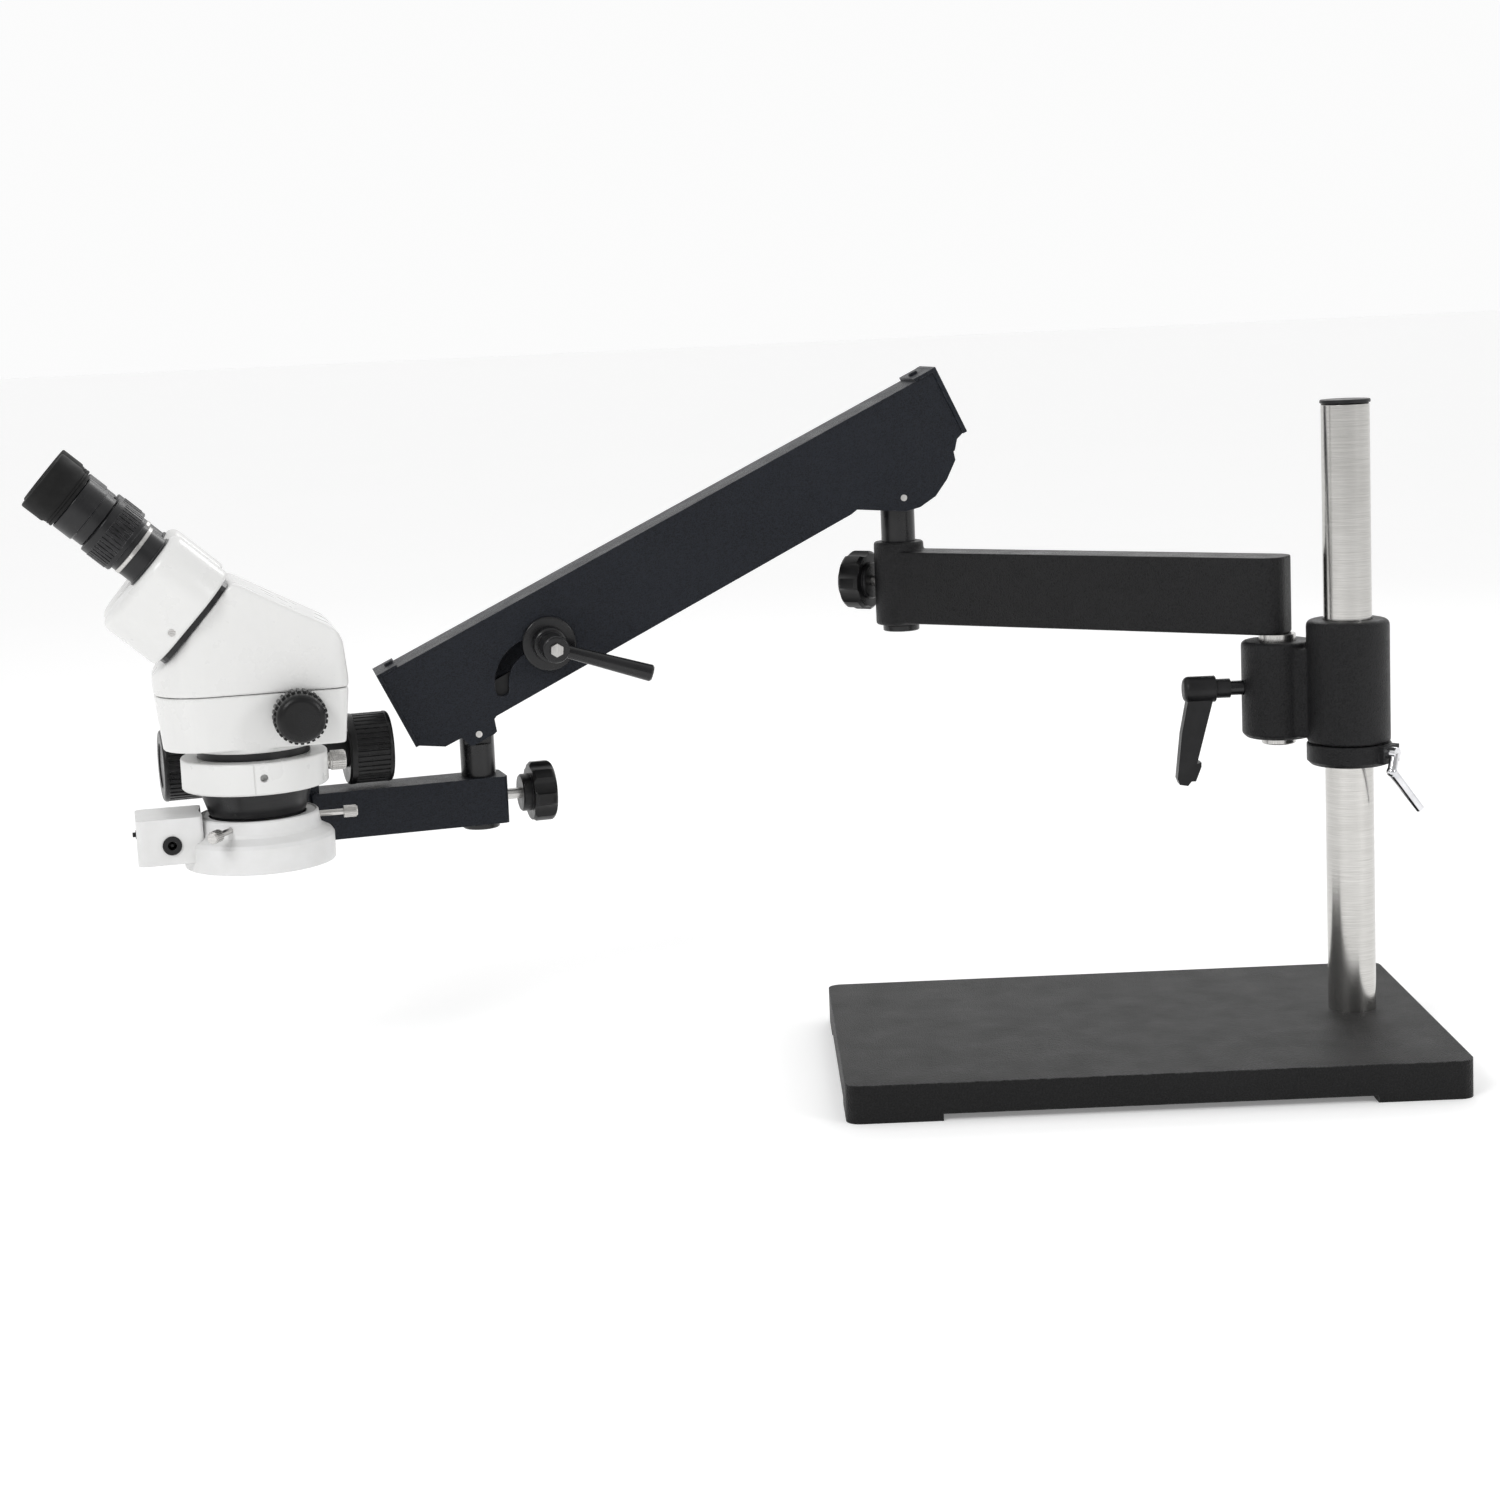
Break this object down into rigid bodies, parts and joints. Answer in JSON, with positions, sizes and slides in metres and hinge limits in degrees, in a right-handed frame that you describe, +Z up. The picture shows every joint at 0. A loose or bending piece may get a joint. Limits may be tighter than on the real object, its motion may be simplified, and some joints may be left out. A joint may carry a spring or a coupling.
{
  "type": "stereo microscope on articulating arm",
  "caption": "Zoom stereo microscope head with ring light, carried by a spring-balanced articulating arm on a steel post and a weighted rectangular base.",
  "frame": {"origin": "on the table under the middle of the whole stand's outline, the head on the left and the post on the right", "axes": "+X along the base towards the post's side, +Y away from the viewer, +Z up"},
  "size_m": [0.93, 0.3696, 0.468],
  "materials": {
    "base_plate": "matte",
    "post": null,
    "post_bolt": null,
    "post_cap": null,
    "safety_collar": "satin",
    "collar_lever": null,
    "pivot_block": "satin",
    "clamp_lever": null,
    "clamp_stud": null,
    "horizontal_arm": "satin",
    "arm_pivot_shaft": null,
    "elbow_knob": null,
    "elbow_stud": null,
    "upper_post": null,
    "arm_housing": "matte",
    "end_plates": "matte",
    "housing_pins": null,
    "balance_spring": null,
    "spring_rod": null,
    "parallel_link": null,
    "link_pin": null,
    "lock_bolt": null,
    "lock_washer": "gloss",
    "lock_handle": "gloss",
    "lower_post": null,
    "focus_bar": "matte",
    "bar_knob": null,
    "bar_stud": null,
    "pinion_shaft": null,
    "focus_knobs": null,
    "focus_rack": null,
    "ring_holder": "satin",
    "head_lock_screw": null,
    "lower_body": "satin",
    "upper_body": "satin",
    "prism_seat": "matte",
    "objective_cell": "satin",
    "objective_lens": null,
    "ring_light": null,
    "ring_diffuser": null,
    "dc_jack": null,
    "zoom_knobs": null,
    "zoom_shaft": null,
    "zoom_carriage": "matte",
    "right_prism_housing": "satin",
    "right_eyetube": "satin",
    "right_diopter_ring": "satin",
    "right_eyepiece": "satin",
    "right_eyecup": null,
    "right_eye_lens": null,
    "left_prism_housing": "satin",
    "left_eyetube": "satin",
    "left_diopter_ring": "satin",
    "left_eyepiece": "satin",
    "left_eyecup": null,
    "left_eye_lens": null,
    "light_switch": null,
    "rear_ring_screw": null,
    "right_ring_screw": null,
    "left_ring_screw": null
  },
  "bodies": {
    "stand": {"base_plate": "base_plate", "post": "post", "post_bolt": "post_bolt", "post_cap": "post_cap"},
    "collar": {"safety_collar": "safety_collar"},
    "collar_lever": {"collar_lever": "collar_lever"},
    "block": {"pivot_block": "pivot_block"},
    "clamp": {"clamp_lever": "clamp_lever", "clamp_stud": "clamp_stud"},
    "first_arm": {"horizontal_arm": "horizontal_arm", "arm_pivot_shaft": "arm_pivot_shaft"},
    "elbow_clamp": {"elbow_knob": "elbow_knob", "elbow_stud": "elbow_stud"},
    "elbow_post": {"upper_post": "upper_post"},
    "spring_arm": {"arm_housing": "arm_housing", "end_plates": "end_plates", "housing_pins": "housing_pins", "balance_spring": "balance_spring", "spring_rod": "spring_rod"},
    "link": {"parallel_link": "parallel_link", "link_pin": "link_pin", "lock_bolt": "lock_bolt", "lock_washer": "lock_washer"},
    "tilt_lock": {"lock_handle": "lock_handle"},
    "head_post": {"lower_post": "lower_post"},
    "bar": {"focus_bar": "focus_bar"},
    "bar_clamp": {"bar_knob": "bar_knob", "bar_stud": "bar_stud"},
    "focus_drive": {"pinion_shaft": "pinion_shaft", "focus_knobs": "focus_knobs"},
    "focus_carriage": {"focus_rack": "focus_rack", "ring_holder": "ring_holder"},
    "head_lock": {"head_lock_screw": "head_lock_screw"},
    "head": {"lower_body": "lower_body", "upper_body": "upper_body", "prism_seat": "prism_seat", "objective_cell": "objective_cell", "objective_lens": "objective_lens", "ring_light": "ring_light", "ring_diffuser": "ring_diffuser", "dc_jack": "dc_jack"},
    "zoom": {"zoom_knobs": "zoom_knobs", "zoom_shaft": "zoom_shaft"},
    "zoom_lens": {"zoom_carriage": "zoom_carriage"},
    "right_prism": {"right_prism_housing": "right_prism_housing", "right_eyetube": "right_eyetube"},
    "right_diopter": {"right_diopter_ring": "right_diopter_ring"},
    "right_ocular": {"right_eyepiece": "right_eyepiece", "right_eyecup": "right_eyecup", "right_eye_lens": "right_eye_lens"},
    "left_prism": {"left_prism_housing": "left_prism_housing", "left_eyetube": "left_eyetube"},
    "left_diopter": {"left_diopter_ring": "left_diopter_ring"},
    "left_ocular": {"left_eyepiece": "left_eyepiece", "left_eyecup": "left_eyecup", "left_eye_lens": "left_eye_lens"},
    "switch": {"light_switch": "light_switch"},
    "rear_screw": {"rear_ring_screw": "rear_ring_screw"},
    "right_screw": {"right_ring_screw": "right_ring_screw"},
    "left_screw": {"left_ring_screw": "left_ring_screw"}
  },
  "joints": [
    {"name": "collar_height", "type": "slide", "parent": "stand", "child": "collar", "axis": [0, 0, 1], "range_m": [-0.05, 0.13]},
    {"name": "collar_lever_turn", "type": "hinge", "parent": "collar", "child": "collar_lever", "pos_m": [0.44233, -0.06883, 0.204], "axis": [0.7071, -0.7071, 0], "range_deg": [-60, 50]},
    {"name": "block_swing", "type": "hinge", "parent": "collar", "child": "block", "pos_m": [0.419, -0.0455, 0.25], "axis": [0, 0, 1], "range_deg": [-170, 170]},
    {"name": "clamp_turn", "type": "hinge", "parent": "block", "child": "clamp", "pos_m": [0.33735, -0.01783, 0.2448], "axis": [-1, 0, 0], "range_deg": [-75, 75]},
    {"name": "first_arm_swing", "type": "hinge", "parent": "block", "child": "first_arm", "pos_m": [0.37735, -0.01783, 0.2812], "axis": [0, 0, 1], "range_deg": [-100, 100]},
    {"name": "elbow_knob_turn", "type": "hinge", "parent": "first_arm", "child": "elbow_clamp", "pos_m": [0.10724, 0.16163, 0.3111], "axis": [-0.8329, 0.5534, 0], "range_deg": [-180, 180]},
    {"name": "elbow_swing", "type": "hinge", "parent": "first_arm", "child": "elbow_post", "pos_m": [0.13223, 0.14503, 0.31], "axis": [0, 0, 1], "range_deg": [-120, 60]},
    {"name": "arm_tilt", "type": "hinge", "parent": "elbow_post", "child": "spring_arm", "pos_m": [0.13223, 0.14503, 0.374], "axis": [0.1942, -0.981, 0], "range_deg": [-55, 7]},
    {"name": "link_tilt", "type": "hinge", "parent": "elbow_post", "child": "link", "pos_m": [0.13899, 0.14637, 0.40165], "axis": [0.1942, -0.981, 0], "range_deg": [-55, 7]},
    {"name": "tilt_lock_turn", "type": "hinge", "parent": "link", "child": "tilt_lock", "pos_m": [-0.12938, 0.09323, 0.28501], "axis": [0.1942, -0.981, 0], "range_deg": [-40, 90]},
    {"name": "head_post_level", "type": "hinge", "parent": "spring_arm", "child": "head_post", "pos_m": [-0.18212, 0.08279, 0.22287], "axis": [0.1942, -0.981, 0], "range_deg": [-7, 55]},
    {"name": "bar_swing", "type": "hinge", "parent": "head_post", "child": "bar", "pos_m": [-0.18212, 0.08279, 0.18], "axis": [0, 0, 1], "range_deg": [-80, 60]},
    {"name": "bar_knob_turn", "type": "hinge", "parent": "bar", "child": "bar_clamp", "pos_m": [-0.14387, 0.09448, 0.174], "axis": [0.9563, 0.2924, 0], "range_deg": [-180, 180]},
    {"name": "focus_slide", "type": "slide", "parent": "bar", "child": "focus_carriage", "axis": [0, 0, 1], "range_m": [-0.012, 0.025]},
    {"name": "focus_knob_turn", "type": "hinge", "parent": "bar", "child": "focus_drive", "pos_m": [-0.32078, 0.0404, 0.2176], "axis": [-0.9563, -0.2924, 0], "range_deg": [-100, 206]},
    {"name": "head_lock_turn", "type": "hinge", "parent": "focus_carriage", "child": "head_lock", "pos_m": [-0.26929, -0.02542, 0.2235], "axis": [0.9563, 0.2924, 0], "range_deg": [-180, 180]},
    {"name": "head_turn", "type": "hinge", "parent": "focus_carriage", "child": "head", "pos_m": [-0.32189, -0.0415, 0.222], "axis": [0, 0, 1], "range_deg": [-30, 30]},
    {"name": "zoom_turn", "type": "hinge", "parent": "head", "child": "zoom", "pos_m": [-0.29363, -0.03498, 0.264], "axis": [0.225, -0.9744, 0], "range_deg": [-90, 90]},
    {"name": "zoom_lens_slide", "type": "slide", "parent": "head", "child": "zoom_lens", "axis": [0, 0, 1], "range_m": [-0.006, 0.006]},
    {"name": "right_eye_spacing", "type": "hinge", "parent": "head", "child": "right_prism", "pos_m": [-0.3565, -0.07618, 0.31758], "axis": [-0.7241, -0.1672, 0.6691], "range_deg": [-14, 8]},
    {"name": "left_eye_spacing", "type": "hinge", "parent": "head", "child": "left_prism", "pos_m": [-0.3682, -0.02551, 0.31758], "axis": [-0.7241, -0.1672, 0.6691], "range_deg": [-8, 14]},
    {"name": "right_diopter_turn", "type": "hinge", "parent": "right_prism", "child": "right_diopter", "pos_m": [-0.3381, -0.07706, 0.33728], "axis": [-0.7241, -0.1672, 0.6691], "range_deg": [-90, 90]},
    {"name": "left_diopter_turn", "type": "hinge", "parent": "left_prism", "child": "left_diopter", "pos_m": [-0.35205, -0.01665, 0.33728], "axis": [-0.7241, -0.1672, 0.6691], "range_deg": [-90, 90]},
    {"name": "right_ocular_slide", "type": "slide", "parent": "right_prism", "child": "right_ocular", "axis": [-0.7241, -0.1672, 0.6691], "range_m": [0, 0.025]},
    {"name": "left_ocular_slide", "type": "slide", "parent": "left_prism", "child": "left_ocular", "axis": [-0.7241, -0.1672, 0.6691], "range_m": [0, 0.025]},
    {"name": "switch_slide", "type": "slide", "parent": "head", "child": "switch", "axis": [0.225, -0.9744, 0], "range_m": [-0.002, 0.002]},
    {"name": "rear_screw_turn", "type": "hinge", "parent": "head", "child": "rear_screw", "pos_m": [-0.26343, -0.02801, 0.188], "axis": [0.9744, 0.225, 0], "range_deg": [-180, 180]},
    {"name": "right_screw_turn", "type": "hinge", "parent": "head", "child": "right_screw", "pos_m": [-0.33943, -0.09888, 0.188], "axis": [-0.2924, -0.9563, 0], "range_deg": [-180, 180]},
    {"name": "left_screw_turn", "type": "hinge", "parent": "head", "child": "left_screw", "pos_m": [-0.36281, 0.00238, 0.188], "axis": [-0.682, 0.7314, 0], "range_deg": [-180, 180]}
  ],
  "couplings": [
    {"joint": "link_tilt", "follows": "arm_tilt", "ratio": 1},
    {"joint": "head_post_level", "follows": "arm_tilt", "ratio": -1},
    {"joint": "focus_knob_turn", "follows": "focus_slide", "rad_per_m": 142.86},
    {"joint": "zoom_lens_slide", "follows": "zoom_turn", "m_per_rad": 0.0035},
    {"joint": "left_eye_spacing", "follows": "right_eye_spacing", "ratio": -1}
  ]
}
